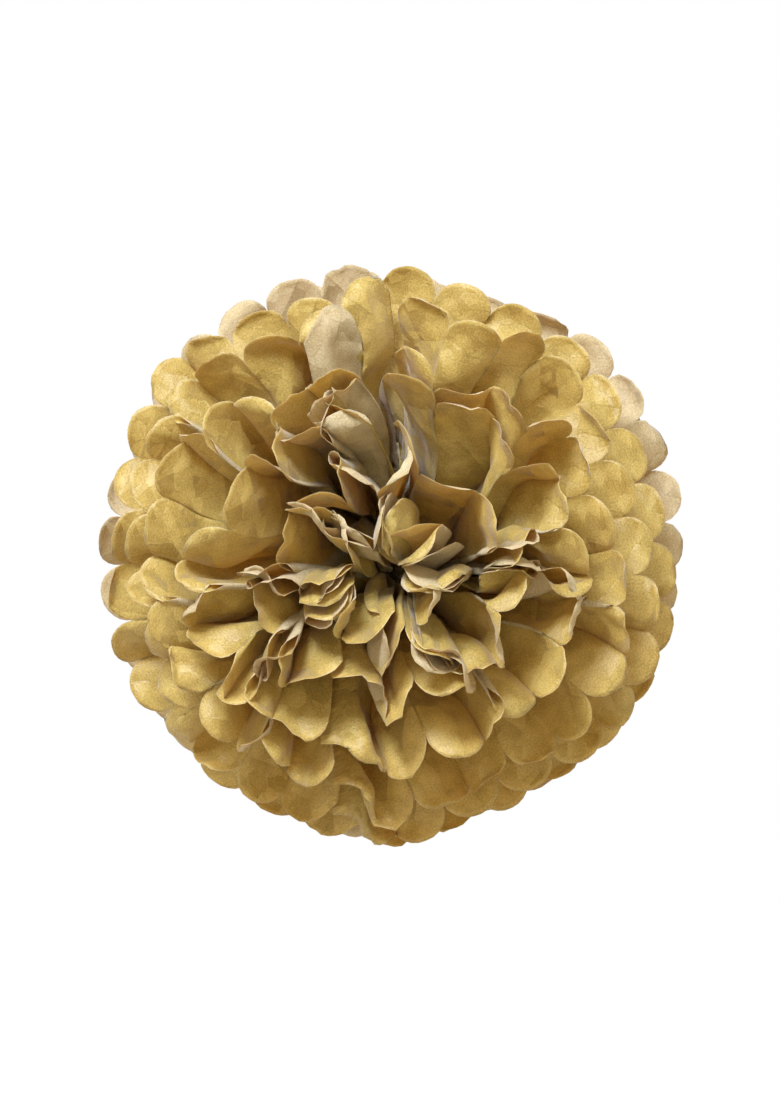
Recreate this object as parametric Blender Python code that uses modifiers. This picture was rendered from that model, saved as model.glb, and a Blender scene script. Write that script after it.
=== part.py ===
"""Tissue paper pom pom.

A stack of equal sheets is accordion folded into one bar, the bar's ends are cut round, a wire is
twisted tight round its middle, and each sheet is then pulled out of the stack to one side. Every
sheet stays one piece of paper: it runs through the tie and fans out to the left and to the right.

X runs along the folded bar and the flower faces -Y and +Y. The two fans of a sheet meet along two
seams, one above the tie and one below it. The origin is the middle of the tie.
"""
import math
import random

import bmesh
import bpy
import numpy as np
from mathutils import Vector

# The flat sheets, in metres.
SHEET_COUNT = 12
SHEET_LENGTH = 0.350
SHEET_WIDTH = 0.500
PLEAT_COUNT = 15
PAPER_THICKNESS = 0.00005

# The gathered waist inside the tie.
WAIST_LENGTH = 0.005
GATHER_DEPTH = 0.0010
INNER_LEAD = 0.001
LEAD_STEP = 0.0018
CLEARANCE = 0.0003

# The wire tie.
WIRE_DIAMETER = 0.0008
TWIST_TURNS = 2.5
TWIST_PITCH = 0.0055
CROSSING_HEIGHT = 1.35
TURN_SIDES = 6
LOOP_SIDES = 14

# How the sheets open, front to back: angles from the front pole, in degrees. Each fold line
# leaves the waist towards the rise angle and curls out to the tip angle.
RISE_ANGLES = (8.0, 18.5, 30.5, 43.5, 57.5, 73.0, 94.0, 113.0, 129.0, 145.0, 160.0, 172.0)
RISE_PLEAT = (4.5, 7.0, 8.0, 8.5, 9.0, 9.0, 9.0, 9.0, 8.5, 8.0, 7.0, 4.5)
TIP_ANGLES = (11.0, 23.5, 36.5, 49.5, 63.0, 77.0, 92.0, 108.0, 123.0, 138.0, 153.0, 169.0)
RISE_SHARE = 0.60

# The seams: the gap between the fans, and how far each leans off upright at the front pole.
SEAM_GAP = 0.0016
SEAM_ANGLE = 1.5
TOP_SEAM_LEAN = 5.0
LOW_SEAM_LEAN = 30.0

# Opening by hand leaves no fan even. Each one drifts round the pole and along it, and its folds
# scatter a little on top. In degrees, and the same each time.
SEED = 7
DRIFT_ROUND = 6.0
DRIFT_POLE = 4.5
SCATTER_ROUND = 3.0
SCATTER_POLE = 2.5

# The folds that stand forward lean over to one side, by up to this share of a pleat, in waves
# that go this many times round a fan.
PLEAT_LEAN = 0.45
LEAN_TURNS = (1.0, 1.7, 2.6)

# Hands also bend the whole ball, all its sheets together. Each row is one smooth field: the length
# of its waves, how far it moves the paper, and the distances from the tie at which it starts and
# is full. In metres.
GRASPS = ((0.130, 0.0070, 0.04, 0.12), (0.060, 0.0030, 0.06, 0.12))
GRASP_WAVES = 14
GRASP_EASE = 1.5

# One more field bends the middle of each flower, where narrow folds have nothing to hold them: how
# far, the length of its waves, its width round the pole, and the depths at which it starts and is
# full. The ball hangs a little flattened, by a share of its height.
POLE_BEND = 0.003
POLE_LENGTH = 0.042
POLE_WIDTH = 0.045
POLE_START = 0.050
POLE_FULL = 0.110
FLATTENED = 0.035

# However far a pleat is pulled open, this share of its width stays folded.
LEAST_FOLDED = 0.1

# Where each fold line is sampled, as shares of it, and the corners of each round end.
STATIONS = (0.0, 0.12, 0.26, 0.6, 1.0)
SCALLOP_SIDES = 4

PLEAT_WIDTH = SHEET_WIDTH / PLEAT_COUNT
SCALLOP_RADIUS = PLEAT_WIDTH / 2
FOLD_LENGTH = SHEET_LENGTH / 2 - WAIST_LENGTH / 2 - SCALLOP_RADIUS
BUNDLE_RADIUS = math.sqrt(SHEET_COUNT * SHEET_WIDTH * PAPER_THICKNESS / math.pi)
LAYER_PITCH = 2 * BUNDLE_RADIUS / (SHEET_COUNT + 1)

GOLD = (0.45, 0.31, 0.09, 1.0)
WIRE_GREY = (0.55, 0.52, 0.45, 1.0)


def clear_scene():
    for obj in list(bpy.data.objects):
        bpy.data.objects.remove(obj)


def material(name, colour, roughness, metallic):
    made = bpy.data.materials.new(name)
    made.use_nodes = True
    shader = made.node_tree.nodes["Principled BSDF"]
    shader.inputs["Base Color"].default_value = colour
    shader.inputs["Roughness"].default_value = roughness
    shader.inputs["Metallic"].default_value = metallic
    return made


def direction(around, from_pole):
    """Unit vector at an angle round the Y axis from +X, and an angle from the front pole, -Y."""
    flat = math.sin(from_pole)
    return Vector((flat * math.cos(around), -math.cos(from_pole), flat * math.sin(around)))


def pleat_half_angle(radius, from_pole, pitch):
    """Half the zigzag, as an angle, that keeps a pleat its full width at that radius."""
    across = radius * math.sin(from_pole) * pitch
    depth = math.sqrt(max(PLEAT_WIDTH**2 - across**2, (LEAST_FOLDED * PLEAT_WIDTH) ** 2))
    return math.asin(depth / 2 / radius)


def slack(from_pole, pitch):
    """How far a pleat at the rim is from being pulled flat, from 0 to 1."""
    return max(LEAST_FOLDED, 1 - FOLD_LENGTH * math.sin(from_pole) * pitch / PLEAT_WIDTH)


def bezier(corners, share):
    a, b, c, d = corners
    rest = 1 - share
    return a * rest**3 + b * 3 * rest**2 * share + c * 3 * rest * share**2 + d * share**3


def line_length(corners, steps=24):
    points = [bezier(corners, i / steps) for i in range(steps + 1)]
    return sum((q - p).length for p, q in zip(points, points[1:]))


def waist_height(sheet):
    return (sheet - (SHEET_COUNT - 1) / 2) * LAYER_PITCH


def waist_half_width(sheet):
    """The bundle is round, so the sheets at its front and back are gathered more tightly."""
    reach = abs(waist_height(sheet)) + GATHER_DEPTH / 2 + PAPER_THICKNESS
    return math.sqrt(BUNDLE_RADIUS**2 - reach**2) - PAPER_THICKNESS


def fan_limits(side, tip):
    """The angles round the pole at which a fan starts, below, and ends, above."""
    half = math.pi / 2 - math.radians(SEAM_ANGLE)
    low_lean = side * math.radians(LOW_SEAM_LEAN) * math.cos(tip)
    top_lean = side * math.radians(TOP_SEAM_LEAN) * math.cos(tip)
    return -half - low_lean, half - top_lean


def pleat_lean(side, fold):
    """How far a fold leans round the pole, as a share of a pleat. It changes slowly."""
    if fold % 2 == 1:
        return 0.0
    draw = random.Random(SEED + side)
    along = 2 * math.pi * fold / PLEAT_COUNT
    waves = [math.sin(turns * along + draw.uniform(0, 2 * math.pi)) for turns in LEAN_TURNS]
    return PLEAT_LEAN * sum(waves) / 2


def fold_corners(sheet, side, fold, scatter):
    """The four control points of one fold line, from the waist to the notch between scallops."""
    towards = -1 if fold % 2 == 0 else 1
    rise = math.radians(RISE_ANGLES[sheet])
    rise_zigzag = math.radians(RISE_PLEAT[sheet])
    tip = math.radians(TIP_ANGLES[sheet])
    lowest, highest = fan_limits(side, tip)
    pitch = (highest - lowest) / PLEAT_COUNT
    # Near the poles the folds stand close together, so nothing shifts them as far.
    drift, loose, lean = (amount * math.sin(tip) for amount in scatter)
    leaning = pleat_lean(side, fold) * pitch * math.sqrt(slack(tip, pitch)) * math.sin(tip)
    around = lowest + fold * pitch + drift + loose * slack(tip, pitch) + leaning
    waist = Vector(
        (
            WAIST_LENGTH / 2,
            waist_height(sheet) + towards * GATHER_DEPTH / 2,
            waist_half_width(sheet) * (2 * fold / PLEAT_COUNT - 1),
        )
    )
    depth = min(sheet, SHEET_COUNT - 1 - sheet)
    lead = waist + Vector((INNER_LEAD + depth * LEAD_STEP, 0, 0))
    seam = Vector((SEAM_GAP / 2, 0, 0))
    rise_point = seam + RISE_SHARE * FOLD_LENGTH * direction(
        around, rise + towards * rise_zigzag + lean / 2
    )
    reach = FOLD_LENGTH
    for _ in range(4):
        zigzag = pleat_half_angle(reach, tip, pitch)
        tip_point = seam + reach * direction(around, tip + towards * zigzag + lean)
        corners = [waist, lead, rise_point, tip_point]
        reach *= FOLD_LENGTH / line_length(corners)
    return [Vector((side * p.x, p.y, p.z)) for p in corners]


def scatter_of(sheet):
    """(drift round, loose turn, lean) of each fold of a sheet. Folds at the seams don't turn."""
    draw = random.Random(SEED * 100 + sheet)
    found = {}
    for side in (1, -1):
        swell, sway, tilt, wave = (draw.uniform(-1, 1) for _ in range(4))
        for fold in range(PLEAT_COUNT + 1):
            along = math.pi * fold / PLEAT_COUNT
            drift = DRIFT_ROUND * (swell * math.sin(along) + sway * math.sin(2 * along) / 2)
            loose = draw.uniform(-SCATTER_ROUND, SCATTER_ROUND) if 0 < fold < PLEAT_COUNT else 0
            lean = DRIFT_POLE * (tilt * math.cos(along) + wave * math.cos(2 * along))
            lean += draw.uniform(-SCATTER_POLE, SCATTER_POLE)
            found[side, fold] = tuple(math.radians(value) for value in (drift, loose, lean))
    return found


def scallop(left, right, ahead):
    """The points of one round end, between two notches, and the middle of its base."""
    middle = (left + right) / 2
    across = (right - left) / 2
    points = []
    for i in range(1, SCALLOP_SIDES):
        angle = math.pi * i / SCALLOP_SIDES
        points.append(middle - across * math.cos(angle) + ahead * SCALLOP_RADIUS * math.sin(angle))
    return points


def split_quad(mesh, left, right, swap):
    """Two triangles between two folds. Neighbours mirror each other at the fold they share."""
    if swap:
        left, right = right, left
    mesh.faces.new([left[0], left[1], right[1]])
    mesh.faces.new([left[0], right[1], right[0]])


class Waves:
    """A smooth random vector field: the sum of plane waves of about one length."""

    def __init__(self, rng, length):
        direction = rng.normal(size=(GRASP_WAVES, 3))
        direction /= np.linalg.norm(direction, axis=1, keepdims=True)
        lengths = length * rng.uniform(0.8, 1.3, (GRASP_WAVES, 1))
        self.waves = direction * 2 * math.pi / lengths
        self.phases = rng.uniform(0, 2 * math.pi, GRASP_WAVES)
        self.push = rng.normal(size=(GRASP_WAVES, 3)) * math.sqrt(2 / GRASP_WAVES)

    def at(self, point):
        return np.sin(self.waves @ point + self.phases) @ self.push


class Handling:
    """How hands leave the ball: smooth shifts that move neighbouring sheets together."""

    def __init__(self, seed):
        rng = np.random.default_rng(seed)
        self.fields = [(Waves(rng, length), *rest) for length, *rest in GRASPS]
        self.pole = Waves(rng, POLE_LENGTH)

    def moved(self, place):
        """Where a point of the freshly opened ball ends up."""
        point = np.array(place)
        far = np.linalg.norm(point)
        total = np.zeros(3)
        for waves, amount, start, full in self.fields:
            fade = np.clip((far - start) / (full - start), 0, 1) ** GRASP_EASE
            total += amount * fade * waves.at(point)
        off_axis = math.hypot(point[0], point[2])
        depth = np.clip((abs(point[1]) - POLE_START) / (POLE_FULL - POLE_START), 0, 1)
        total += POLE_BEND * depth * math.exp(-((off_axis / POLE_WIDTH) ** 2)) * self.pole.at(point)
        total[2] -= FLATTENED * point[2]
        return Vector(point + total)


def paper_sheet(sheet, handling, finish):
    """One sheet: a pleated fan to each side of the waist, with a scallop on every pleat."""
    scatter = scatter_of(sheet)
    mesh = bmesh.new()
    columns = {}
    petals = []
    for side in (1, -1):
        for fold in range(PLEAT_COUNT + 1):
            corners = fold_corners(sheet, side, fold, scatter[side, fold])
            ahead = (corners[3] - corners[2]).normalized()
            verts = [mesh.verts.new(bezier(corners, share)) for share in STATIONS]
            columns[side, fold] = (verts, ahead)
    for pleat in range(PLEAT_COUNT):
        waist = []
        for side in (1, -1):
            left, left_ahead = columns[side, pleat]
            right, right_ahead = columns[side, pleat + 1]
            waist += [left[0], right[0]] if side == 1 else [right[0], left[0]]
            for row in range(len(STATIONS) - 2):
                split_quad(mesh, left[row : row + 2], right[row : row + 2], pleat % 2 == 1)
            ahead = (left_ahead + right_ahead).normalized()
            tip = [mesh.verts.new(p) for p in scallop(left[-1].co, right[-1].co, ahead)]
            petals.append(mesh.faces.new([left[-2], left[-1], *tip, right[-1], right[-2]]))
        mesh.faces.new(waist)
    bmesh.ops.triangulate(mesh, faces=petals)
    for vert in mesh.verts:
        vert.co = handling.moved(vert.co)
    bmesh.ops.recalc_face_normals(mesh, faces=mesh.faces)
    name = f"sheet_{sheet + 1:02d}"
    data = bpy.data.meshes.new(name)
    mesh.to_mesh(data)
    mesh.free()
    data.materials.append(finish)
    obj = bpy.data.objects.new(name, data)
    shell = obj.modifiers.new("paper", "SOLIDIFY")
    shell.thickness = PAPER_THICKNESS
    shell.offset = 0
    shell.use_even_offset = False
    return obj


def tie_path():
    """The wire's centre line: down one strand of the twist, round the bundle, up the other."""
    wire_radius = WIRE_DIAMETER / 2
    loop = BUNDLE_RADIUS + CLEARANCE + wire_radius
    strand = wire_radius + CLEARANCE / 2
    crossing = CROSSING_HEIGHT * loop
    leave = math.acos(loop / crossing)
    rising = []
    steps = round(TWIST_TURNS * TURN_SIDES)
    for i in range(steps + 1):
        angle = 2 * math.pi * TWIST_TURNS * i / steps
        height = crossing + TWIST_PITCH * TWIST_TURNS * i / steps
        rising.append((strand * math.sin(angle), strand * math.cos(angle), height))
    first = [Vector((x, y, z)) for x, y, z in reversed(rising)]
    last = [Vector((-x, -y, z)) for x, y, z in rising]
    around = []
    for i in range(LOOP_SIDES + 1):
        angle = leave + (2 * math.pi - 2 * leave) * i / LOOP_SIDES
        around.append(Vector((0, loop * math.sin(angle), loop * math.cos(angle))))
    return first + around + last


def wire_tie(finish):
    data = bpy.data.curves.new("wire_tie", "CURVE")
    data.dimensions = "3D"
    data.bevel_depth = WIRE_DIAMETER / 2
    data.bevel_resolution = 1
    data.use_fill_caps = True
    points = tie_path()
    spline = data.splines.new("POLY")
    spline.points.add(len(points) - 1)
    for spot, point in zip(spline.points, points):
        spot.co = (*point, 1)
    data.materials.append(finish)
    return bpy.data.objects.new("wire_tie", data)


def main():
    clear_scene()
    home = bpy.data.collections.new("tissue_pom_pom")
    bpy.context.scene.collection.children.link(home)
    paper = material("gold_tissue", GOLD, 0.5, 0.25)
    wire = material("tie_wire", WIRE_GREY, 0.35, 1.0)
    handling = Handling(SEED)
    for sheet in range(SHEET_COUNT):
        home.objects.link(paper_sheet(sheet, handling, paper))
    home.objects.link(wire_tie(wire))


main()
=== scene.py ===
"""A gold tissue paper pom pom: twelve folded sheets fanned out from a twisted wire.

Each plain sheet of the frame gives way to a fine one with the same folds. Its fold lines follow the
frame's rule, and the paper between them is then let go, so that it bows and twists without
stretching, as tissue does. Where two sheets meet, they push each other apart.
"""
import math
import random

import bpy
import numpy as np
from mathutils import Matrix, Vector
from mathutils.bvhtree import BVHTree


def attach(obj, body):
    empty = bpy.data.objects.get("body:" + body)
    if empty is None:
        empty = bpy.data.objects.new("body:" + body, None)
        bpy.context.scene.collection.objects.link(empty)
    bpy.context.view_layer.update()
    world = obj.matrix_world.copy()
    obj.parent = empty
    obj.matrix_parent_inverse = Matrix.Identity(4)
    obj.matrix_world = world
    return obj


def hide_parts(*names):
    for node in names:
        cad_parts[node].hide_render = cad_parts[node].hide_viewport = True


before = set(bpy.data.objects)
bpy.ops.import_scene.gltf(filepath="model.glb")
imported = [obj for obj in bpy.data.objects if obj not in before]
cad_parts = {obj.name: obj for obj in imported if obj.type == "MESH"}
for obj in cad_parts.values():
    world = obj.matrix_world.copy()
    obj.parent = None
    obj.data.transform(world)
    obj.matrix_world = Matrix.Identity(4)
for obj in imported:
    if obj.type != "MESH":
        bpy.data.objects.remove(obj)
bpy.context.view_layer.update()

# The flat sheets and how they open, as the frame has them, in metres and degrees.
SHEET_COUNT = 12
SHEET_LENGTH = 0.350
SHEET_WIDTH = 0.500
PLEAT_COUNT = 15
BUNDLE_PAPER = 0.00005
WAIST_LENGTH = 0.005
GATHER_DEPTH = 0.0010
INNER_LEAD = 0.001
LEAD_STEP = 0.0018
RISE_ANGLES = (8.0, 18.5, 30.5, 43.5, 57.5, 73.0, 94.0, 113.0, 129.0, 145.0, 160.0, 172.0)
RISE_PLEAT = (4.5, 7.0, 8.0, 8.5, 9.0, 9.0, 9.0, 9.0, 8.5, 8.0, 7.0, 4.5)
TIP_ANGLES = (11.0, 23.5, 36.5, 49.5, 63.0, 77.0, 92.0, 108.0, 123.0, 138.0, 153.0, 169.0)
RISE_SHARE = 0.60
SEAM_GAP = 0.0016
SEAM_ANGLE = 1.5
TOP_SEAM_LEAN = 5.0
LOW_SEAM_LEAN = 30.0
SEED = 7
DRIFT_ROUND = 6.0
DRIFT_POLE = 4.5
SCATTER_ROUND = 3.0
SCATTER_POLE = 2.5
LEAN_TURNS = (1.0, 1.7, 2.6)
LEAST_FOLDED = 0.1

# How the strips share the way round the pole, less evenly than in the frame: how far a fold leans,
# how wide a strip may open, how much they differ, and how much of that is each sheet's own.
PLEAT_LEAN = 0.3
MOST_OPEN = 0.92
UNEVEN = 1.8
OWN_SHARE = 0.4

# The shared pattern: how far each strip is pulled open, from the lower seam to the upper one, in
# the right fans (1) and in the left fans (-1).
OPENED = {
    1: (1.2, -0.4, 1.3, -1.0, 0.1, 0.9, 1.4, -0.6, -0.5, 1.2, -1.2, -0.6, 0.8, 1.4, 0.2),
    -1: (1.0, 1.3, -1.0, 0.2, 1.4, 0.8, -1.0, 1.2, 1.4, -0.8, -0.4, 1.3, -0.4, 1.0, 0.5),
}

# How hands bend the whole ball, as the frame has it. A grasp is the length of its waves, how far it
# shifts the paper, and how far from the tie it starts and is full.
GRASPS = ((0.130, 0.0070, 0.04, 0.12), (0.060, 0.0030, 0.06, 0.12))
GRASP_WAVES = 14
GRASP_EASE = 1.5
WAVE_LENGTHS = (0.8, 1.3)
POLE_BEND = 0.003
POLE_LENGTH = 0.042
POLE_WIDTH = 0.045
POLE_START = 0.050
POLE_FULL = 0.110
FLATTENED = 0.035

PLEAT_WIDTH = SHEET_WIDTH / PLEAT_COUNT
SCALLOP_RADIUS = PLEAT_WIDTH / 2
FOLD_LENGTH = SHEET_LENGTH / 2 - WAIST_LENGTH / 2 - SCALLOP_RADIUS
BUNDLE_RADIUS = math.sqrt(SHEET_COUNT * SHEET_WIDTH * BUNDLE_PAPER / math.pi)
LAYER_PITCH = 2 * BUNDLE_RADIUS / (SHEET_COUNT + 1)

# The fine grid of one fan: columns across each strip, and rows from the waist to the cut end that
# lie closer together towards it. Fold lines are drawn with so many points, measured with fewer, and
# run on past the notch by 1.5 scallop radii.
STRIP_COLUMNS = 12
ROWS = 40
ROW_EASE = 0.75
NOTCH_ROW = ROWS - 4
LINE_POINTS = 60
MEASURE_POINTS = 25
PAST_NOTCH = 1.5

# How many rounds it takes to fit the strips into the way round, and a fold line to its length.
SHARING_ROUNDS = 6
FITTING_ROUNDS = 4

# How many sheets, counted from the front, have their printed side forward. The others face back.
FRONT_PRINTED = 6

# How the paper settles, in metres from the waist: it is held up to HELD_LENGTH and free beyond
# LOOSE_LENGTH, where only a weak hold is left. Each round moves a point a little past its balance,
# and the two edges at the seams are drawn back to their place.
SETTLE_STEPS = 260
HELD_LENGTH = 0.012
LOOSE_LENGTH = 0.060
STRONG_HOLD = 0.9
WEAK_HOLD = 0.003
PAST_BALANCE = 1.3
EDGE_HOLD = 0.15

# Springs between points of the grid: steps across the strips and out from the waist, and how firmly
# they resist being pressed together. The long ones across keep a strip from buckling.
SPRINGS = (
    ((1, 0), 0.6),
    ((0, 1), 0.6),
    ((1, 1), 0.5),
    ((-1, 1), 0.5),
    ((2, 0), 0.25),
    ((4, 0), 0.5),
    ((7, 0), 0.8),
    ((10, 0), 0.6),
    ((0, 2), 0.35),
    ((0, 4), 0.35),
    ((0, 8), 0.2),
)
FOLD_SPRING = (2, 0)
BUCKLING_FROM = 0.075
BUCKLING_EASE = 0.03

# The springs that cross a fold start away from the waist and where the fold is at least half as
# open as SHUT_BELOW. Each keeps its own share of its firmness, from SOFTEST_FOLD up.
SOFTEST_FOLD = 0.25
SOFT_FOLD_OPEN = 0.5
SOFT_FOLD_FROM = 0.06
SOFT_FOLD_EASE = 0.06

# Sheets that cut through each other beyond PARTED_FROM are pushed apart by one step, once in so
# many rounds, and each fan is held on its own side of the seam, by one step at most.
PARTED_FROM = 0.09
PARTING_STEP = 0.0004
PARTING_EVERY = 8
SEAM_STEP = 0.001
SEAM_EVERY = 4

# How unevenly folds open. The three shares are the part that all sheets have in common, each
# sheet's own part near a pole, and what is added to it where there is most room. A fold that has
# slack changes most, and none opens wider than FOLD_WIDEST of a strip.
FOLD_SPREAD = 0.3
FOLD_SHARES = (0.6, 0.3, 0.6)
FOLD_SLACK = 1.6
FOLD_WIDEST = 0.98
FOLD_EASE = 0.04
FOLD_PULL = 0.25

# The strips' own shape: how far a strip bows, with the same three shares, and how its end curls
# from CURL_LENGTH before the notch on. Below SHUT_BELOW a fold counts as shut, and its strips lie
# flat on each other.
STRIP_BOW = 0.0025
BOW_SHARES = (0.5, 0.3, 0.5)
BOW_RISE = 1.5
TIP_CURL = 0.003
CURL_RANGE = (-0.8, 1.0)
CURL_LENGTH = 0.012
CURL_RISE = 1.6
LEAST_CURL = 0.35
SHUT_BELOW = 0.35

# The two seams between the fans: the right fan ends this many degrees behind the left one, each
# sheet's seams wander, and the end strips reach over them near the rim. A seam wanders by a sine
# with a step from sheet to sheet and a start.
SEAM_LAP = 2.5
LAP_FOLDS = 2
SEAM_SWAY = 0.009
UPPER_SWAY = (1.9, 0.6)
LOWER_SWAY = (2.3, 2.2)
SWAY_HEIGHT = 0.05
SWAY_WIDTH = 0.055
SEAM_OVERLAP = 0.010
OVERLAP_FROM = 0.07
OVERLAP_EASE = 0.08
OVERLAP_ROOM = 0.06

# Scallops with a sharp crease: their share, how far the crease is from the end, its slant and how
# far the paper beyond it bends, in metres and degrees.
CREASED_SHARE = 0.62
CREASE_DEPTHS = (0.0035, 0.0090)
CREASE_SLANT = 24.0
CREASE_BENDS = (15.0, 55.0)
CREASE_ROUNDING = 0.0015
CREASE_NEAR = 0.006
FORWARD_SHARE = 0.65

# Upper end strips that lie turned over on their neighbour and show the unprinted side: the sheet,
# counted from 0 at the front, the side, and how many degrees they stand off it.
TURNED_ENDS = ((2, -1, 30.0), (3, -1, 45.0), (4, -1, 25.0))
TURN_STARTS = 0.045
TURN_LENGTH = 0.045

# Tissue is about 0.05 mm thick. It is drawn over twice as thick, so that its two sides stay apart.
SHELL_THICKNESS = 0.00012

# The printed and the bare side: a light and a dark colour of the mottle, a roughness and a strength
# of gloss. Metal ink gives the print a soft gloss, and the bare side is matte. Fibre that stands up
# gives both a faint sheen.
GOLD = ("#E2CE75", "#AB9339", 0.55, 1.0)
BARE = ("#E8DDB8", "#BFB182", 0.80, 0.3)
SHEEN = 0.35
SHEEN_ROUGHNESS = 0.5

# The mottle: grain and larger clouds, their shares, and the span of noise that it covers. A single
# fibre, 0.03 mm wide, is too fine to show, so the grain is clumps of fibre 1 mm wide.
GRAIN_WIDTH = 0.0010
GRAIN_DETAIL = 3.0
GRAIN_ROUGHNESS = 0.65
CLOUD_WIDTH = 0.012
GRAIN_SHARE = 0.7
CLOUD_SHARE = 0.3
MOTTLE_SPAN = (0.40, 0.60)

# Relief: large and small facets, each with its width and tilt, and fibre that stands up a little.
# The facets' borders are bent by noise twice as wide as they are, by up to a third of their width.
LARGE_FACETS = (0.026, 0.46)
SMALL_FACETS = (0.009, 0.30)
BORDER_NOISE = 0.5
BORDER_BEND = 3
FIBRE_RELIEF = 0.00009

# The cut edge, painted pale: partly the white pulp that shows there, partly a painted highlight
# where the edge catches the light. Then the light that comes through one layer. The real edge is
# 0.1 mm wide, too fine to show, and is drawn six times as wide.
EDGE_PULP_AND_HIGHLIGHT = "#F0E6CC"
EDGE_PULP_AND_HIGHLIGHT_WIDTH = 0.0006
EDGE_PULP_AND_HIGHLIGHT_SHARE = 0.3
THROUGH = "#E4BA70"
THROUGH_SHARE = 0.36

# The wire, the floor, the light and the camera. Lengths in metres, the rise in degrees.
WIRE = "#C4C2BC"
WIRE_ROUGHNESS = 0.32
FLOOR = "#E6E5E2"
FLOOR_LIFT = 0.55
FLOOR_DROP = 1.7
FLOOR_RADIUS = 6.0
FLOOR_SIDES = 64
AMBIENT = 0.86
AMBIENT_COLOR = "#FFF2D6"
KEY_PLACE = (-0.45, -1.1, 1.3)
KEY_SIZE = 0.6
KEY_POWER = 46
KEY_COLOR = "#E9F0FF"
LENS = 85
SENSOR_HEIGHT = 36
CAMERA_RISE = 6.5
CAMERA_DISTANCE = 1.55


def ramp(value, start, length):
    """From 0 at the start to 1 a length further on."""
    return np.clip((value - start) / length, 0, 1)


def bezier(corners, share):
    """Points of a curve with four control points, at shares of it from 0 to 1."""
    a, b, c, d = corners
    rest = 1 - share
    return (
        a * (rest**3)[..., None]
        + b * (3 * rest**2 * share)[..., None]
        + c * (3 * rest * share**2)[..., None]
        + d * (share**3)[..., None]
    )


def direction(around, from_pole):
    """Unit vector at an angle round the Y axis from +X, and an angle from the front pole, -Y."""
    flat = math.sin(from_pole)
    return np.array((flat * math.cos(around), -math.cos(from_pole), flat * math.sin(around)))


def polyline_length(points):
    """How long the line through these points is."""
    return float(np.linalg.norm(np.diff(points, axis=0), axis=1).sum())


def scatter_of(sheet):
    """(drift round, loose turn, lean) of each fold of a sheet, drawn as the frame draws them."""
    draw = random.Random(SEED * 100 + sheet)
    found = {}
    for side in (1, -1):
        swell, sway, tilt, wave = (draw.uniform(-1, 1) for _ in range(4))
        for fold in range(PLEAT_COUNT + 1):
            along = math.pi * fold / PLEAT_COUNT
            drift = DRIFT_ROUND * (swell * math.sin(along) + sway * math.sin(2 * along) / 2)
            loose = draw.uniform(-SCATTER_ROUND, SCATTER_ROUND) if 0 < fold < PLEAT_COUNT else 0
            lean = DRIFT_POLE * (tilt * math.cos(along) + wave * math.cos(2 * along))
            lean += draw.uniform(-SCATTER_POLE, SCATTER_POLE)
            found[side, fold] = tuple(math.radians(value) for value in (drift, loose, lean))
    return found


def pleat_lean(side, fold):
    """How far a fold leans round the pole, as a share of a pleat. It changes slowly."""
    if fold % 2 == 1:
        return 0.0
    draw = random.Random(SEED + side)
    along = 2 * math.pi * fold / PLEAT_COUNT
    waves = [math.sin(turns * along + draw.uniform(0, 2 * math.pi)) for turns in LEAN_TURNS]
    return PLEAT_LEAN * sum(waves) / 2


def strip_chords(sheet, side, slack, whole):
    """How wide each strip stands open round the pole. Together they fill the whole way round.

    Where there is little room a few strips open wide and the others stay shut.
    """
    draw = random.Random(SEED * 100 + 2 * sheet + (side > 0))
    own = [draw.gauss(0, 1) for _ in range(PLEAT_COUNT)]
    chords = np.exp(UNEVEN * slack * (np.array(OPENED[side]) + OWN_SHARE * np.array(own)))
    for _ in range(SHARING_ROUNDS):
        chords = np.minimum(chords * whole / chords.sum(), MOST_OPEN * PLEAT_WIDTH)
    return chords * whole / chords.sum()


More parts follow.
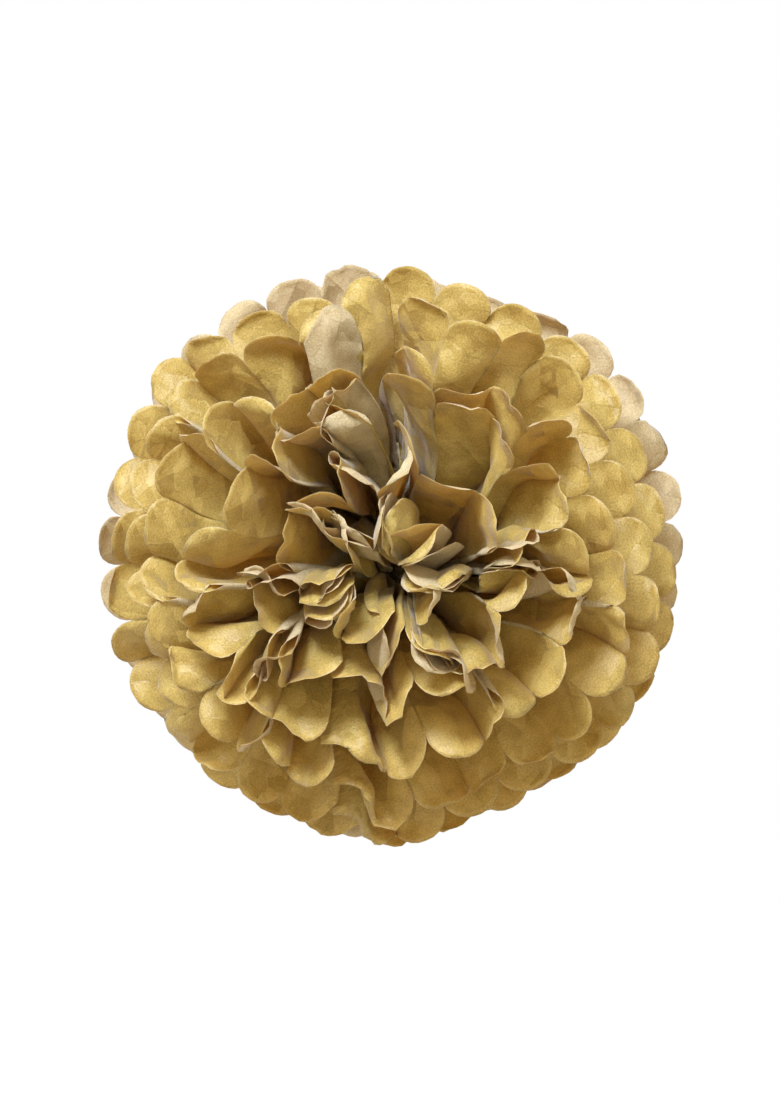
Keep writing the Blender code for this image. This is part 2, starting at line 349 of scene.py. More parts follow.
def fold_corners(sheet, side, fold, scatter):
    """The control points of one fold line, from the waist to the notch between two scallops."""
    towards = -1 if fold % 2 == 0 else 1
    rise = math.radians(RISE_ANGLES[sheet])
    tip = math.radians(TIP_ANGLES[sheet])
    half = math.pi / 2 - math.radians(SEAM_ANGLE)
    lowest = -half - side * math.radians(LOW_SEAM_LEAN) * math.cos(tip)
    highest = half - side * math.radians(TOP_SEAM_LEAN) * math.cos(tip)
    pitch = (highest - lowest) / PLEAT_COUNT
    ring = FOLD_LENGTH * math.sin(tip)
    slack = max(LEAST_FOLDED, 1 - ring * pitch / PLEAT_WIDTH)
    chords = strip_chords(sheet, side, slack, ring * (highest - lowest))
    depths = np.sqrt(np.maximum(PLEAT_WIDTH**2 - chords**2, (LEAST_FOLDED * PLEAT_WIDTH) ** 2))
    depth = depths[max(fold - 1, 0) : fold + 1].mean()
    drift, loose, lean = (amount * math.sin(tip) for amount in scatter)
    lean += seam_lap(side, fold, tip)
    leaning = pleat_lean(side, fold) * pitch * math.sqrt(slack) * math.sin(tip)
    around = lowest + chords[:fold].sum() / ring + drift + loose * slack + leaning
    height = (sheet - (SHEET_COUNT - 1) / 2) * LAYER_PITCH
    reach = abs(height) + GATHER_DEPTH / 2 + BUNDLE_PAPER
    half_width = math.sqrt(BUNDLE_RADIUS**2 - reach**2) - BUNDLE_PAPER
    gather = towards * GATHER_DEPTH / 2
    waist = np.array((WAIST_LENGTH / 2, height + gather, half_width * (2 * fold / PLEAT_COUNT - 1)))
    inside = min(sheet, SHEET_COUNT - 1 - sheet)
    lead = waist + np.array((INNER_LEAD + inside * LEAD_STEP, 0, 0))
    seam = np.array((SEAM_GAP / 2, 0, 0))
    rise_angle = rise + towards * math.radians(RISE_PLEAT[sheet]) + lean / 2
    rise_point = seam + RISE_SHARE * FOLD_LENGTH * direction(around, rise_angle)
    reach = FOLD_LENGTH
    for _ in range(FITTING_ROUNDS):
        zigzag = math.asin(depth / 2 / reach)
        tip_point = seam + reach * direction(around, tip + towards * zigzag + lean)
        corners = np.array((waist, lead, rise_point, tip_point))
        reach *= FOLD_LENGTH / polyline_length(bezier(corners, np.linspace(0, 1, MEASURE_POINTS)))
    return corners * (side, 1, 1)


def cut_pattern():
    """Where each grid point lies on the flat paper: across the strips, and out from the waist."""
    turn = math.pi * np.arange(STRIP_COLUMNS) / STRIP_COLUMNS
    within = (1 - np.cos(turn)) / 2
    across = (np.arange(PLEAT_COUNT)[:, None] + within[None, :]).ravel()
    across = np.append(across, PLEAT_COUNT) * PLEAT_WIDTH
    from_middle = across / PLEAT_WIDTH % 1 * 2 - 1
    scallop = SCALLOP_RADIUS * np.sqrt(np.clip(1 - from_middle**2, 0, 1))
    scallop[::STRIP_COLUMNS] = 0
    share = (np.arange(ROWS + 1) / ROWS) ** ROW_EASE
    out = share[None, :] * (FOLD_LENGTH + scallop[:, None])
    return across, out


def seam_lap(side, fold, tip):
    """At the seams the right fan ends a little behind the left one, so that they can overlap."""
    near_end = max(0.0, 1 - min(fold, PLEAT_COUNT - fold) / LAP_FOLDS)
    return side * math.radians(SEAM_LAP) * near_end * math.sin(tip)


def seam_sway(fans, across, out):
    """Each sheet's two seams wander sideways by their own amount, further out at the rim.

    The end strips reach a little over the seam there, so that they hide it.
    """
    place = across / PLEAT_WIDTH
    near_end = np.clip(1 - np.minimum(place, PLEAT_COUNT - place) / LAP_FOLDS, 0, 1)[:, None]
    over = SEAM_OVERLAP * ramp(out, OVERLAP_FROM, OVERLAP_EASE) * near_end
    fans[0::2, ..., 0] -= over
    fans[1::2, ..., 0] += over
    for index in range(len(fans)):
        sheet = index // 2
        reach = (out / (FOLD_LENGTH + SCALLOP_RADIUS)) ** 2
        height = fans[index, ..., 2]
        upper, lower = (
            SEAM_SWAY * math.sin(step * sheet + start) for step, start in (UPPER_SWAY, LOWER_SWAY)
        )
        amount = np.where(height > 0, upper, lower)
        amount = amount * np.minimum(np.abs(height) / SWAY_HEIGHT, 1)
        near = np.exp(-((fans[index, ..., 0] / SWAY_WIDTH) ** 2))
        fans[index, ..., 0] += amount * near * reach


def opened_fan(sheet, side, scatter, across, out):
    """The fan's grid before it is let go: straight across each strip, from fold to fold."""
    lines = []
    for fold in range(PLEAT_COUNT + 1):
        corners = fold_corners(sheet, side, fold, scatter[side, fold])
        points = bezier(corners, np.linspace(0, 1, LINE_POINTS))
        end = points[-1] - points[-2]
        past = end / np.linalg.norm(end) * PAST_NOTCH * SCALLOP_RADIUS
        points = np.vstack((points, points[-1] + past))
        run = np.concatenate(([0], np.cumsum(np.linalg.norm(np.diff(points, axis=0), axis=1))))
        lines.append((run, points))
    grid = np.empty((len(across), ROWS + 1, 3))
    for column, place in enumerate(across / PLEAT_WIDTH):
        fold = min(int(place), PLEAT_COUNT - 1)
        share = place - fold
        grid[column] = 0
        for line, weight in ((fold, 1 - share), (fold + 1, share)):
            run, points = lines[line]
            for axis in range(3):
                grid[column, :, axis] += weight * np.interp(out[column], run, points[:, axis])
    return grid


def strip_normals(fans):
    """Unit normals of the grid, all on the side that faces the next sheet behind."""
    across = np.gradient(fans, axis=1)
    along = np.gradient(fans, axis=2)
    normals = np.cross(across, along)
    normals[1::2] *= -1
    return normals / np.maximum(np.linalg.norm(normals, axis=-1, keepdims=True), 1e-12)


def grid_cells(columns, rows):
    """The four corners of each cell of a grid whose points are numbered column by column."""
    corner = np.arange(columns * rows).reshape(columns, rows)
    around = (corner[:-1, :-1], corner[1:, :-1], corner[1:, 1:], corner[:-1, 1:])
    return np.stack(around, axis=-1).reshape(-1, 4)


def strip_of(across):
    """The number of the strip that each column is in."""
    return np.minimum((across / PLEAT_WIDTH + 1e-6).astype(int), PLEAT_COUNT - 1)


def fold_openness(fans):
    """How far each inner fold stands open near the notches: 0 is shut, 1 is flat."""
    middle = fans[:, STRIP_COLUMNS // 2 :: STRIP_COLUMNS, NOTCH_ROW]
    return np.linalg.norm(np.diff(middle, axis=1), axis=-1) / PLEAT_WIDTH


def strip_openness(fans):
    """The same for each strip: the mean of the folds at its two edges."""
    folds = fold_openness(fans)
    padded = np.concatenate((folds[:, :1], folds, folds[:, -1:]), axis=1)
    return np.clip((padded[:, 1:] + padded[:, :-1]) / 2, 0, 1)


def uneven_amounts(rng, count, shares):
    """A random amount for each strip or fold of each fan, by the three shares."""
    common, near_pole, with_room = shares
    shared = np.tile(rng.uniform(-1, 1, (2, count)), (SHEET_COUNT, 1))
    own = rng.uniform(-1, 1, (2 * SHEET_COUNT, count))
    room = np.sin(np.radians(np.repeat(TIP_ANGLES, 2)))[:, None]
    return common * shared + (near_pole + with_room * room) * own


def loosen(fans, across, out, rng):
    """Give every strip a bow and every scallop a curl, for the paper to follow."""
    strips = strip_of(across)
    open_share = strip_openness(fans)[:, strips, None]
    spare = 1 - open_share
    free = np.clip(open_share / SHUT_BELOW, 0, 1) ** 2
    arch = 1 - (across / PLEAT_WIDTH % 1 * 2 - 1) ** 2
    arch[::STRIP_COLUMNS] = 0
    rows = (out / FOLD_LENGTH) ** BOW_RISE
    swell = uneven_amounts(rng, PLEAT_COUNT, BOW_SHARES)
    bow = STRIP_BOW * swell[:, strips, None] * arch[:, None] * rows
    beyond = np.clip(out - (FOLD_LENGTH - CURL_LENGTH), 0, None) / (CURL_LENGTH + SCALLOP_RADIUS)
    turn = rng.uniform(*CURL_RANGE, (len(fans), PLEAT_COUNT))
    curl = TIP_CURL * turn[:, strips, None] * beyond**CURL_RISE
    height = free * (bow * np.sqrt(spare) + curl * (LEAST_CURL + spare))
    return fans + strip_normals(fans) * height[..., None]


def spring_family(across, out, step_across, step_out):
    """Rest lengths between grid points that lie a given step apart on the flat paper."""
    columns = len(across) - abs(step_across)
    rows = ROWS + 1 - step_out
    first = (slice(0, columns) if step_across >= 0 else slice(-step_across, None), slice(0, rows))
    second = (
        slice(step_across, None) if step_across >= 0 else slice(0, columns),
        slice(step_out, None),
    )
    flat = np.stack((np.broadcast_to(across[:, None], out.shape), out), axis=-1)
    rest = np.linalg.norm(flat[second] - flat[first], axis=-1)
    middle = (out[first] + out[second]) / 2
    free = ramp(middle, HELD_LENGTH, LOOSE_LENGTH - HELD_LENGTH)
    return first, second, rest.astype(np.float32), free


def paper_springs(fans, across, out, rng):
    """The springs of the paper itself: no part of it stretches, and strips hardly buckle.

    Each is the two sets of points that it joins, rest lengths, how firmly it resists being
    pressed together, and how firmly it pulls together.
    """
    springs = []
    for step, firmness in SPRINGS:
        first, second, rest, free = spring_family(across, out, *step)
        stiff = (firmness * free).astype(np.float32)
        if step[0] > FOLD_SPRING[0]:
            stiff *= ramp(out[: len(stiff)], BUCKLING_FROM, BUCKLING_EASE)
            stiff[np.arange(len(stiff)) % STRIP_COLUMNS + step[0] > STRIP_COLUMNS] = 0
        if step == FOLD_SPRING:
            soft = SOFTEST_FOLD + (1 - SOFTEST_FOLD) * rng.uniform(0, 1, PLEAT_COUNT - 1)
            opened = ramp(out[: PLEAT_COUNT - 1], SOFT_FOLD_FROM, SOFT_FOLD_EASE)
            soft = soft * np.clip(fold_openness(fans) / SHUT_BELOW - SOFT_FOLD_OPEN, 0, 1)
            stiff = np.repeat(stiff[None], len(fans), axis=0)
            over_fold = slice(STRIP_COLUMNS - 1, None, STRIP_COLUMNS)
            stiff[:, over_fold] *= (soft[..., None] * opened).astype(np.float32)
        springs.append((first, second, rest, stiff, np.float32(1)))
    return springs


def fold_springs(fans, across, out, rng):
    """Springs from strip to strip that open or close each fold by its own amount."""
    middle = np.arange(STRIP_COLUMNS // 2, len(across), STRIP_COLUMNS)
    first, second = (middle[:-1], slice(None)), (middle[1:], slice(None))
    chord = np.linalg.norm(fans[:, second[0]] - fans[:, first[0]], axis=-1)
    spread = FOLD_SPREAD * uneven_amounts(rng, PLEAT_COUNT - 1, FOLD_SHARES)
    slack = np.clip(FOLD_SLACK * (1 - chord / PLEAT_WIDTH), 0, 1)
    opening = np.minimum(chord * (1 + spread[..., None] * slack), FOLD_WIDEST * PLEAT_WIDTH)
    stiff = FOLD_PULL * ramp(out[middle[:-1]], LOOSE_LENGTH, FOLD_EASE)
    stiff, opening = stiff.astype(np.float32), opening.astype(np.float32)
    return first, second, opening, stiff, np.float32(FOLD_PULL)


def settle(fans, across, out, seam, rng):
    """Let the paper go: it may not stretch, and away from the waist it may not shrink."""
    fans = fans.astype(np.float32)
    target = fans.copy()
    springs = paper_springs(fans, across, out, rng)
    springs.append(fold_springs(fans, across, out, rng))
    hold = np.clip(1 - (out - HELD_LENGTH) / (LOOSE_LENGTH - HELD_LENGTH), 0, 1)
    anchor = (WEAK_HOLD + STRONG_HOLD * hold**3).astype(np.float32)
    cells = grid_cells(*fans.shape[1:3]).tolist()
    for step in range(SETTLE_STEPS):
        move = np.zeros_like(fans)
        weight = np.full(fans.shape[:3], 1e-9, np.float32)
        for first, second, rest, stiff, pull in springs:
            a = fans[:, first[0], first[1]]
            b = fans[:, second[0], second[1]]
            reach = b - a
            length = np.sqrt(np.einsum("fcrk,fcrk->fcr", reach, reach))
            error = (length - rest) / np.maximum(length, 1e-9)
            force = np.where(error > 0, pull * (stiff > 0) if pull < 1 else pull, stiff)
            push = (0.5 * error * force)[..., None] * reach
            move[:, first[0], first[1]] += push
            move[:, second[0], second[1]] -= push
            weight[:, first[0], first[1]] += force
            weight[:, second[0], second[1]] += force
        fans = fans + np.float32(PAST_BALANCE) * move / np.maximum(weight, 1)[..., None]
        fans += (target - fans) * anchor[..., None]
        for edge in (0, -1):
            fans[:, edge, :, 0] += EDGE_HOLD * (target[:, edge, :, 0] - fans[:, edge, :, 0])
        if (step + 1) % SEAM_EVERY == 0:
            hold_seam(fans, seam, out)
        if step % PARTING_EVERY == 0:
            part_crossings(fans, cells, out)
    return fans


def part_crossings(fans, cells, out):
    """Where neighbouring sheets cut through each other, push them apart from there to the rim."""
    columns, rows = fans.shape[1:3]
    trees = [BVHTree.FromPolygons(fan.reshape(-1, 3).tolist(), cells) for fan in fans]
    push = np.zeros(fans.shape[:3], np.float32)
    for index in range(len(fans) - 2):
        pairs = np.array(trees[index].overlap(trees[index + 2]), int).reshape(-1, 2)
        for fan, met, way in ((index, pairs[:, 0], -1), (index + 2, pairs[:, 1], 1)):
            mark = np.zeros((columns, rows), np.float32)
            column, row = np.divmod(met, rows - 1)
            mark[column, row] = mark[column + 1, row] = 1
            mark = np.maximum.accumulate(mark * (out > PARTED_FROM), axis=1)
            push[fan] += way * mark
    push[:, 1:-1] = (push[:, :-2] + push[:, 1:-1] + push[:, 2:]) / 3
    fans += PARTING_STEP * push[..., None] * strip_normals(fans)


def turned(points, axis, angle):
    """The points turned about an axis through the origin. The angle may differ from row to row."""
    cos, sin = np.cos(angle)[..., None], np.sin(angle)[..., None]
    along = np.sum(points * axis, axis=-1, keepdims=True) * axis
    return along + (points - along) * cos + np.cross(axis, points) * sin


def turn_ends_over(fans, out):
    """Turn the top strip of some fans over the front of its neighbour, about their shared fold."""
    for sheet, side, ajar in TURNED_ENDS:
        fan = fans[2 * sheet + (side < 0)]
        fold = fan[-1 - STRIP_COLUMNS]
        axis = np.gradient(fold, axis=0)
        axis /= np.linalg.norm(axis, axis=-1, keepdims=True)
        last, neighbour = fan[-1] - fold, fan[-1 - 2 * STRIP_COLUMNS] - fold
        sine = np.sum(np.cross(last, neighbour) * axis, axis=-1)
        between = np.arctan2(side * sine, np.sum(last * neighbour, axis=-1)) % (2 * math.pi)
        ease = ramp(out[-1 - STRIP_COLUMNS], TURN_STARTS, TURN_LENGTH)
        whole = between[NOTCH_ROW] - math.radians(ajar)
        angle = side * whole * ease**2 * (3 - 2 * ease)
        fan[-STRIP_COLUMNS:] = fold + turned(fan[-STRIP_COLUMNS:] - fold, axis, angle)


def crease_scallops(fans, across, out, rng):
    """Bend the ends of some scallops over a straight crease."""
    for index, fan in enumerate(fans):
        for strip in range(PLEAT_COUNT):
            chance, slant, depth, bend, way = rng.uniform(0, 1, 5)
            if chance > CREASED_SHARE:
                continue
            columns = slice(strip * STRIP_COLUMNS + 1, (strip + 1) * STRIP_COLUMNS)
            aside = (across[columns] - (strip + 0.5) * PLEAT_WIDTH)[:, None]
            end = FOLD_LENGTH + SCALLOP_RADIUS - np.interp(depth, (0, 1), CREASE_DEPTHS)
            slant = math.radians(CREASE_SLANT) * (2 * slant - 1)
            beyond = (out[columns] - end) * math.cos(slant) - aside * math.sin(slant)
            along = (out[columns] - end) * math.sin(slant) + aside * math.cos(slant)
            near = np.abs(beyond) < CREASE_NEAR
            middle = fan[columns][near].mean(axis=0)
            axis = ((fan[columns] - middle) * along[..., None])[near].sum(axis=0)
            axis /= np.linalg.norm(axis)
            ease = np.clip(beyond / CREASE_ROUNDING, 0, 1)
            forward = -1 if way < FORWARD_SHARE else 1
            facing = forward if index % 2 == 0 else -forward
            angle = facing * math.radians(np.interp(bend, (0, 1), CREASE_BENDS))
            fan[columns] = middle + turned(fan[columns] - middle, axis, angle * ease)


def hold_seam(fans, seam, out):
    """Keep each fan on its own side of the seam, but for the ends of its scallops."""
    over = SEAM_OVERLAP * ramp(out, OVERLAP_FROM, OVERLAP_ROOM)
    for index, side in ((0, 1), (1, -1)):
        own = fans[index::2]
        short = SEAM_GAP / 4 - over - side * (own[..., 0] - seam[index::2])
        own[..., 0] += side * np.clip(short, 0, SEAM_STEP)


class Waves:
    """A smooth random vector field: the sum of plane waves of about one length."""

    def __init__(self, rng, length):
        direction = rng.normal(size=(GRASP_WAVES, 3))
        direction /= np.linalg.norm(direction, axis=1, keepdims=True)
        lengths = length * rng.uniform(*WAVE_LENGTHS, (GRASP_WAVES, 1))
        self.waves = direction * 2 * math.pi / lengths
        self.phases = rng.uniform(0, 2 * math.pi, GRASP_WAVES)
        self.push = rng.normal(size=(GRASP_WAVES, 3)) * math.sqrt(2 / GRASP_WAVES)

    def at(self, points):
        """The field's shift at each point, about one unit long."""
        return np.sin(points @ self.waves.T + self.phases) @ self.push


class Handling:
    """How hands leave the ball: smooth shifts that move neighbouring sheets together."""

    def __init__(self, seed):
        rng = np.random.default_rng(seed)
        self.fields = [(Waves(rng, length), *rest) for length, *rest in GRASPS]
        self.pole = Waves(rng, POLE_LENGTH)

    def shift(self, points):
        """How far each point moves: both grasps, the bend at the poles and the flattening."""
        far = np.linalg.norm(points, axis=-1, keepdims=True)
        total = np.zeros_like(points)
        for waves, amount, start, full in self.fields:
            fade = ramp(far, start, full - start) ** GRASP_EASE
            total += amount * fade * waves.at(points)
        off_axis = np.hypot(points[..., 0], points[..., 2])[..., None]
        depth = ramp(np.abs(points[..., 1:2]), POLE_START, POLE_FULL - POLE_START)
        pole = np.exp(-((off_axis / POLE_WIDTH) ** 2)) * depth
        total += POLE_BEND * pole * self.pole.at(points)
        total[..., 2] -= FLATTENED * points[..., 2]
        return total

    def seam(self, points):
        """How far the plane between the left and right fans moves sideways, at these points."""
        return self.shift(points * (0, 1, 1))[..., 0]


def from_cut(across, run):
    """How far each point of the flat sheet is from the round cut edge."""
    aside = (across / PLEAT_WIDTH % 1 - 0.5) * PLEAT_WIDTH
    beyond = np.abs(run) - FOLD_LENGTH
    inside = SCALLOP_RADIUS - np.hypot(aside[:, None], np.maximum(beyond, 0))
    return np.maximum(inside, 0) + np.maximum(-beyond, 0)


def paper_object(name, left, right, across, out, face, reverse):
    """One sheet as a mesh: the left fan, the waist and the right fan, with a material a side."""
    grid = np.concatenate((left[:, ::-1], right), axis=1)
    quads = grid_cells(*grid.shape[:2])
    mesh = bpy.data.meshes.new(name)
    mesh.from_pydata(grid.reshape(-1, 3).tolist(), [], quads.tolist())
    run = np.concatenate((-out[:, ::-1], out), axis=1)
    flat = np.stack((np.broadcast_to(across[:, None], run.shape), run), axis=-1).reshape(-1, 2)
    layer = mesh.uv_layers.new(name="flat_paper")
    layer.data.foreach_set("uv", flat[quads.ravel()].ravel())
    edge = mesh.attributes.new("from_cut", "FLOAT", "POINT")
    edge.data.foreach_set("value", from_cut(across, run).ravel())
    mesh.materials.append(face)
    mesh.materials.append(reverse)
    mesh.polygons.foreach_set("use_smooth", [True] * len(mesh.polygons))
    obj = bpy.data.objects.new(name, mesh)
    bpy.context.scene.collection.objects.link(obj)
    shell = obj.modifiers.new("paper", "SOLIDIFY")
    shell.thickness = SHELL_THICKNESS
    shell.offset = 0
    shell.material_offset = 1
    shell.material_offset_rim = 1
    return obj


def linear(hex_code):
    """An sRGB hex colour as linear values with full alpha."""
    values = [int(hex_code[i : i + 2], 16) / 255 for i in (1, 3, 5)]
    return tuple(v / 12.92 if v <= 0.04045 else ((v + 0.055) / 1.055) ** 2.4 for v in values) + (1,)


def add_node(tree, kind, inputs=None, **settings):
    """A node with its settings; an input is a value or another node's output socket."""
    node = tree.nodes.new(kind)
    for key, value in settings.items():
        setattr(node, key, value)
    for key, value in (inputs or {}).items():
        if isinstance(value, bpy.types.NodeSocket):
            tree.links.new(value, node.inputs[key])
        else:
            node.inputs[key].default_value = value
    return node


def new_material(name):
    """An empty material and its node tree."""
    material = bpy.data.materials.new(name)
    material.use_nodes = True
    material.node_tree.nodes.clear()
    return material, material.node_tree


def grain_of(tree, size, detail=2.0, roughness=0.5):
    """Noise whose grains have a size in metres on the flat sheet, from 0 to 1."""
    flat = add_node(tree, "ShaderNodeUVMap", uv_map="flat_paper")
    inputs = {"Vector": flat.outputs[0], "Scale": 1 / size}
    inputs.update({"Detail": detail, "Roughness": roughness})
    return add_node(tree, "ShaderNodeTexNoise", inputs).outputs["Fac"]


def facets_of(tree, size, tilt):
    """Height, in metres, of paper that was crumpled and smoothed: facets, each tilted a bit."""
    flat = add_node(tree, "ShaderNodeUVMap", uv_map="flat_paper")
    bend = {"Vector": flat.outputs[0], "Scale": BORDER_NOISE / size}
    bend = add_node(tree, "ShaderNodeTexNoise", bend)
    reach = size / BORDER_BEND
    shift = {0: bend.outputs["Color"], 1: (reach, reach, 0), 2: flat.outputs[0]}
    place = add_node(tree, "ShaderNodeVectorMath", shift, operation="MULTIPLY_ADD").outputs[0]
    cells = add_node(tree, "ShaderNodeTexVoronoi", {"Vector": place, "Scale": 1 / size})
    lean = {0: cells.outputs["Color"], 1: (tilt, tilt, 0), 2: (-tilt / 2, -tilt / 2, 0)}
    lean = add_node(tree, "ShaderNodeVectorMath", lean, operation="MULTIPLY_ADD").outputs[0]
    away = {0: place, 1: cells.outputs["Position"]}
    away = add_node(tree, "ShaderNodeVectorMath", away, operation="SUBTRACT").outputs[0]
    height = add_node(tree, "ShaderNodeVectorMath", {0: lean, 1: away}, operation="DOT_PRODUCT")
    return height.outputs["Value"]


def blend(tree, share, first, second):
    """A colour between two, by a share from 0 to 1."""
    inputs = {"Factor": share, "A": first, "B": second}
    mix = add_node(tree, "ShaderNodeMix", data_type="RGBA")
    for socket in mix.inputs:
        if socket.name == "Factor" and socket.type == "VALUE" or socket.type == "RGBA":
            value = inputs[socket.name]
            if isinstance(value, bpy.types.NodeSocket):
                tree.links.new(value, socket)
            else:
                socket.default_value = value
    return next(socket for socket in mix.outputs if socket.type == "RGBA")


def mottle_of(tree, grain, light, dark):
    """Pulp that is matted unevenly: grain and soft clouds, between a light and a dark colour."""
    cloud = grain_of(tree, CLOUD_WIDTH)
    grain = {0: grain, 1: GRAIN_SHARE, 2: 0.0}
    grain = add_node(tree, "ShaderNodeMath", grain, operation="MULTIPLY_ADD")
    both = {0: cloud, 1: CLOUD_SHARE, 2: grain.outputs[0]}
    both = add_node(tree, "ShaderNodeMath", both, operation="MULTIPLY_ADD")
    span = {"Value": both.outputs[0], "From Min": MOTTLE_SPAN[0], "From Max": MOTTLE_SPAN[1]}
    share = add_node(tree, "ShaderNodeMapRange", span)
    return blend(tree, share.outputs["Result"], linear(dark), linear(light))


def with_edge_pulp_and_highlight(tree, color):
    """The colour with a pale line along the round cut: partly the white pulp of the torn fibres,
    partly a painted highlight where the edge catches the light.
    """
    edge = add_node(tree, "ShaderNodeAttribute", attribute_name="from_cut")
    fade = {"Value": edge.outputs["Fac"], "From Max": EDGE_PULP_AND_HIGHLIGHT_WIDTH}
    fade.update({"To Min": EDGE_PULP_AND_HIGHLIGHT_SHARE, "To Max": 0.0})
    share = add_node(tree, "ShaderNodeMapRange", fade)
    return blend(tree, share.outputs["Result"], color, linear(EDGE_PULP_AND_HIGHLIGHT))


def relief_of(tree, grain):
    """The surface's tilt: crumpled and smoothed into large and small facets, with fibre on top."""
    large = {"Distance": 1.0, "Height": facets_of(tree, *LARGE_FACETS)}
    large = add_node(tree, "ShaderNodeBump", large)
    small = {"Distance": 1.0, "Height": facets_of(tree, *SMALL_FACETS), "Normal": large.outputs[0]}
    small = add_node(tree, "ShaderNodeBump", small)
    fibre = {"Distance": FIBRE_RELIEF, "Height": grain, "Normal": small.outputs[0]}
    return add_node(tree, "ShaderNodeBump", fibre).outputs[0]


def tissue_material(name, light, dark, roughness, gloss):
    """Thin tissue, matte to the eye: mottled pulp, a pale cut edge that is part pulp and part
    painted highlight, facets and a faint glow.
    """
    material, tree = new_material(name)
    grain = grain_of(tree, GRAIN_WIDTH, GRAIN_DETAIL, GRAIN_ROUGHNESS)
    # The pale line along the cut is part pulp and part painted highlight of the edge catching
    # light.
    color = with_edge_pulp_and_highlight(tree, mottle_of(tree, grain, light, dark))
    relief = relief_of(tree, grain)
    paper = {"Base Color": color, "Roughness": roughness, "Specular IOR Level": gloss}
    paper.update({"Sheen Weight": SHEEN, "Sheen Roughness": SHEEN_ROUGHNESS, "Normal": relief})
    paper = add_node(tree, "ShaderNodeBsdfPrincipled", paper)
    glow = {"Color": linear(THROUGH), "Normal": relief}
    glow = add_node(tree, "ShaderNodeBsdfTranslucent", glow)
    both = {0: THROUGH_SHARE, 1: paper.outputs[0], 2: glow.outputs[0]}
    both = add_node(tree, "ShaderNodeMixShader", both)
    add_node(tree, "ShaderNodeOutputMaterial", {"Surface": both.outputs[0]})
    return material


def drawn_wire():
    """Steel wire drawn through a die: bright, with a fine roughness that dulls its highlight."""
    material, tree = new_material("drawn_steel_wire")
    steel = {"Base Color": linear(WIRE), "Metallic": 1.0, "Roughness": WIRE_ROUGHNESS}
    steel = add_node(tree, "ShaderNodeBsdfPrincipled", steel)
    add_node(tree, "ShaderNodeOutputMaterial", {"Surface": steel.outputs[0]})
    return material


def background_seen(tree):
    """1 where the lens sees the background, straight, in a reflection or through the paper."""
    path = add_node(tree, "ShaderNodeLightPath")
    seen = path.outputs["Is Camera Ray"]
    for ray in ("Is Glossy Ray", "Is Transmission Ray"):
        either = {0: seen, 1: path.outputs[ray]}
        seen = add_node(tree, "ShaderNodeMath", either, operation="MAXIMUM").outputs[0]
    return seen


def studio_floor():
    """A pale matte floor far below the hanging ball. To the lens it runs into the white behind."""
    mesh = bpy.data.meshes.new("studio_floor")
    turn = [2 * math.pi * step / FLOOR_SIDES for step in range(FLOOR_SIDES)]
    ring = [(FLOOR_RADIUS * math.cos(a), FLOOR_RADIUS * math.sin(a), -FLOOR_DROP) for a in turn]
    mesh.from_pydata(ring, [], [range(FLOOR_SIDES)])
    material, tree = new_material("matte_floor_paint")
    paint = add_node(tree, "ShaderNodeBsdfDiffuse", {"Color": linear(FLOOR)})
    lift = add_node(tree, "ShaderNodeEmission", {"Color": (1, 1, 1, 1), "Strength": FLOOR_LIFT})
    none = add_node(tree, "ShaderNodeEmission", {"Strength": 0.0})
    seen = {0: background_seen(tree), 1: none.outputs[0], 2: lift.outputs[0]}
    seen = add_node(tree, "ShaderNodeMixShader", seen)
    both = add_node(tree, "ShaderNodeAddShader", {0: paint.outputs[0], 1: seen.outputs[0]})
    add_node(tree, "ShaderNodeOutputMaterial", {"Surface": both.outputs[0]})
    mesh.materials.append(material)
    floor = bpy.data.objects.new("studio_floor", mesh)
    bpy.context.scene.collection.objects.link(floor)


def white_studio(scene):
    """Light from all round, and pure white behind the ball, as in a cut-out product picture."""
    world = bpy.data.worlds.new("white_studio")
    world.use_nodes = True
    tree = world.node_tree
    tree.nodes.clear()
    white = (1, 1, 1, 1)
    warm = linear(AMBIENT_COLOR)
    soft = add_node(tree, "ShaderNodeBackground", {"Color": warm, "Strength": AMBIENT})
    seen = add_node(tree, "ShaderNodeBackground", {"Color": white, "Strength": 1.0})
    mix = {0: background_seen(tree), 1: soft.outputs[0], 2: seen.outputs[0]}
    mix = add_node(tree, "ShaderNodeMixShader", mix)
    add_node(tree, "ShaderNodeOutputWorld", {"Surface": mix.outputs[0]})
    scene.world = world


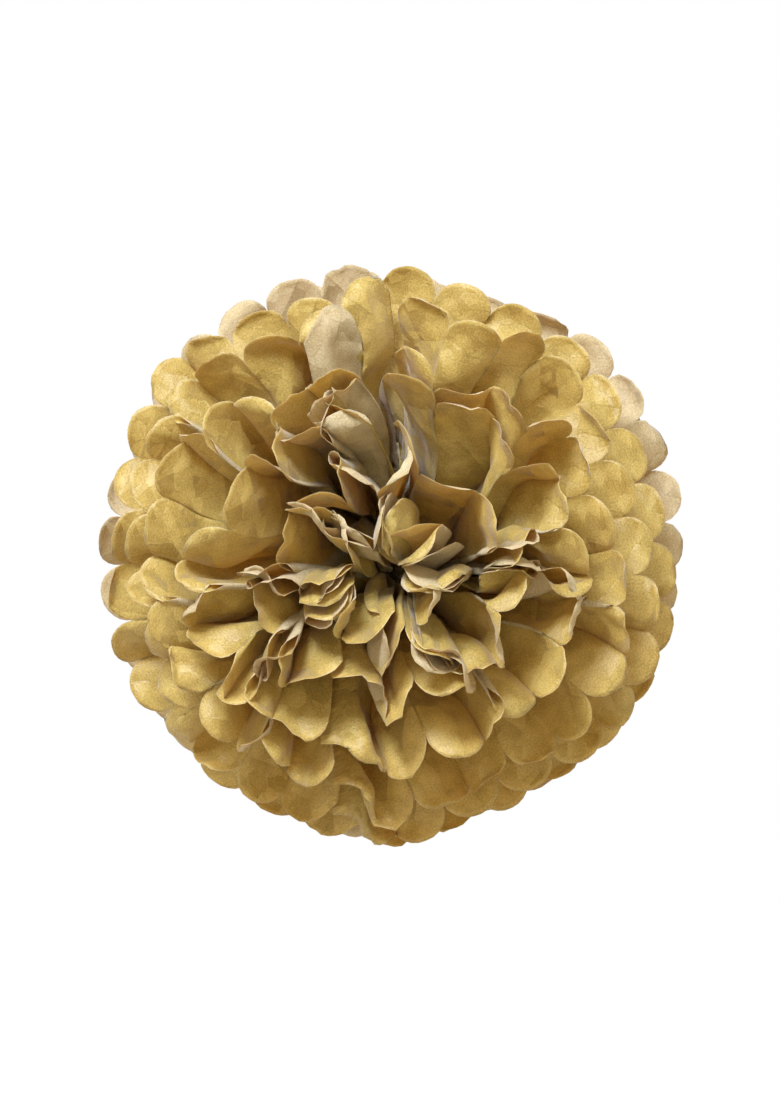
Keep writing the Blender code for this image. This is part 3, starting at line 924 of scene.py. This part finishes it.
def softbox(name, place, size, power, color):
    """A square lamp that faces the ball."""
    data = bpy.data.lights.new(name, "AREA")
    data.size = size
    data.energy = power
    data.color = linear(color)[:3]
    lamp = bpy.data.objects.new(name, data)
    lamp.location = place
    lamp.rotation_euler = (-Vector(place)).to_track_quat("-Z", "Y").to_euler()
    bpy.context.scene.collection.objects.link(lamp)


def add_lights_and_camera():
    """The white studio, a softbox in front, above and to the left, and the camera."""
    scene = bpy.context.scene
    scene.view_settings.view_transform = "Standard"
    white_studio(scene)
    softbox("key_softbox", KEY_PLACE, KEY_SIZE, KEY_POWER, KEY_COLOR)

    lens = bpy.data.cameras.new("camera")
    lens.lens = LENS
    lens.sensor_fit = "VERTICAL"
    lens.sensor_height = SENSOR_HEIGHT
    camera = bpy.data.objects.new("camera", lens)
    rise = math.radians(CAMERA_RISE)
    camera.location = Vector((0, -math.cos(rise), math.sin(rise))) * CAMERA_DISTANCE
    camera.rotation_euler = (-camera.location).to_track_quat("-Z", "Y").to_euler()
    scene.collection.objects.link(camera)
    scene.camera = camera


def main():
    """Fold, open and settle the twelve sheets, then dress and light them."""
    across, out = cut_pattern()
    rng = np.random.default_rng(SEED + 1)
    fans = []
    for sheet in range(SHEET_COUNT):
        scatter = scatter_of(sheet)
        for side in (1, -1):
            fans.append(opened_fan(sheet, side, scatter, across, out))
    fans = np.array(fans)
    seam_sway(fans, across, out)
    handling = Handling(SEED)
    seam = handling.seam(fans)
    turn_ends_over(fans, out)
    fans = loosen(fans, across, out, rng)
    fans = fans + handling.shift(fans)
    fans = settle(fans, across, out, seam, rng)
    crease_scallops(fans, across, out, rng)
    gold = tissue_material("gold_printed_tissue", *GOLD)
    bare = tissue_material("bare_tissue_reverse", *BARE)
    for sheet in range(SHEET_COUNT):
        name = f"sheet_{sheet + 1:02d}"
        printed_to_front = sheet < FRONT_PRINTED
        pair = (bare, gold) if printed_to_front else (gold, bare)
        right, left = fans[2 * sheet], fans[2 * sheet + 1]
        piece = paper_object("tissue_" + name, left, right, across, out, *pair)
        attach(piece, "root")
        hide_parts(name)
    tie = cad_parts["wire_tie"]
    tie.data.materials.clear()
    tie.data.materials.append(drawn_wire())
    studio_floor()
    add_lights_and_camera()


main()
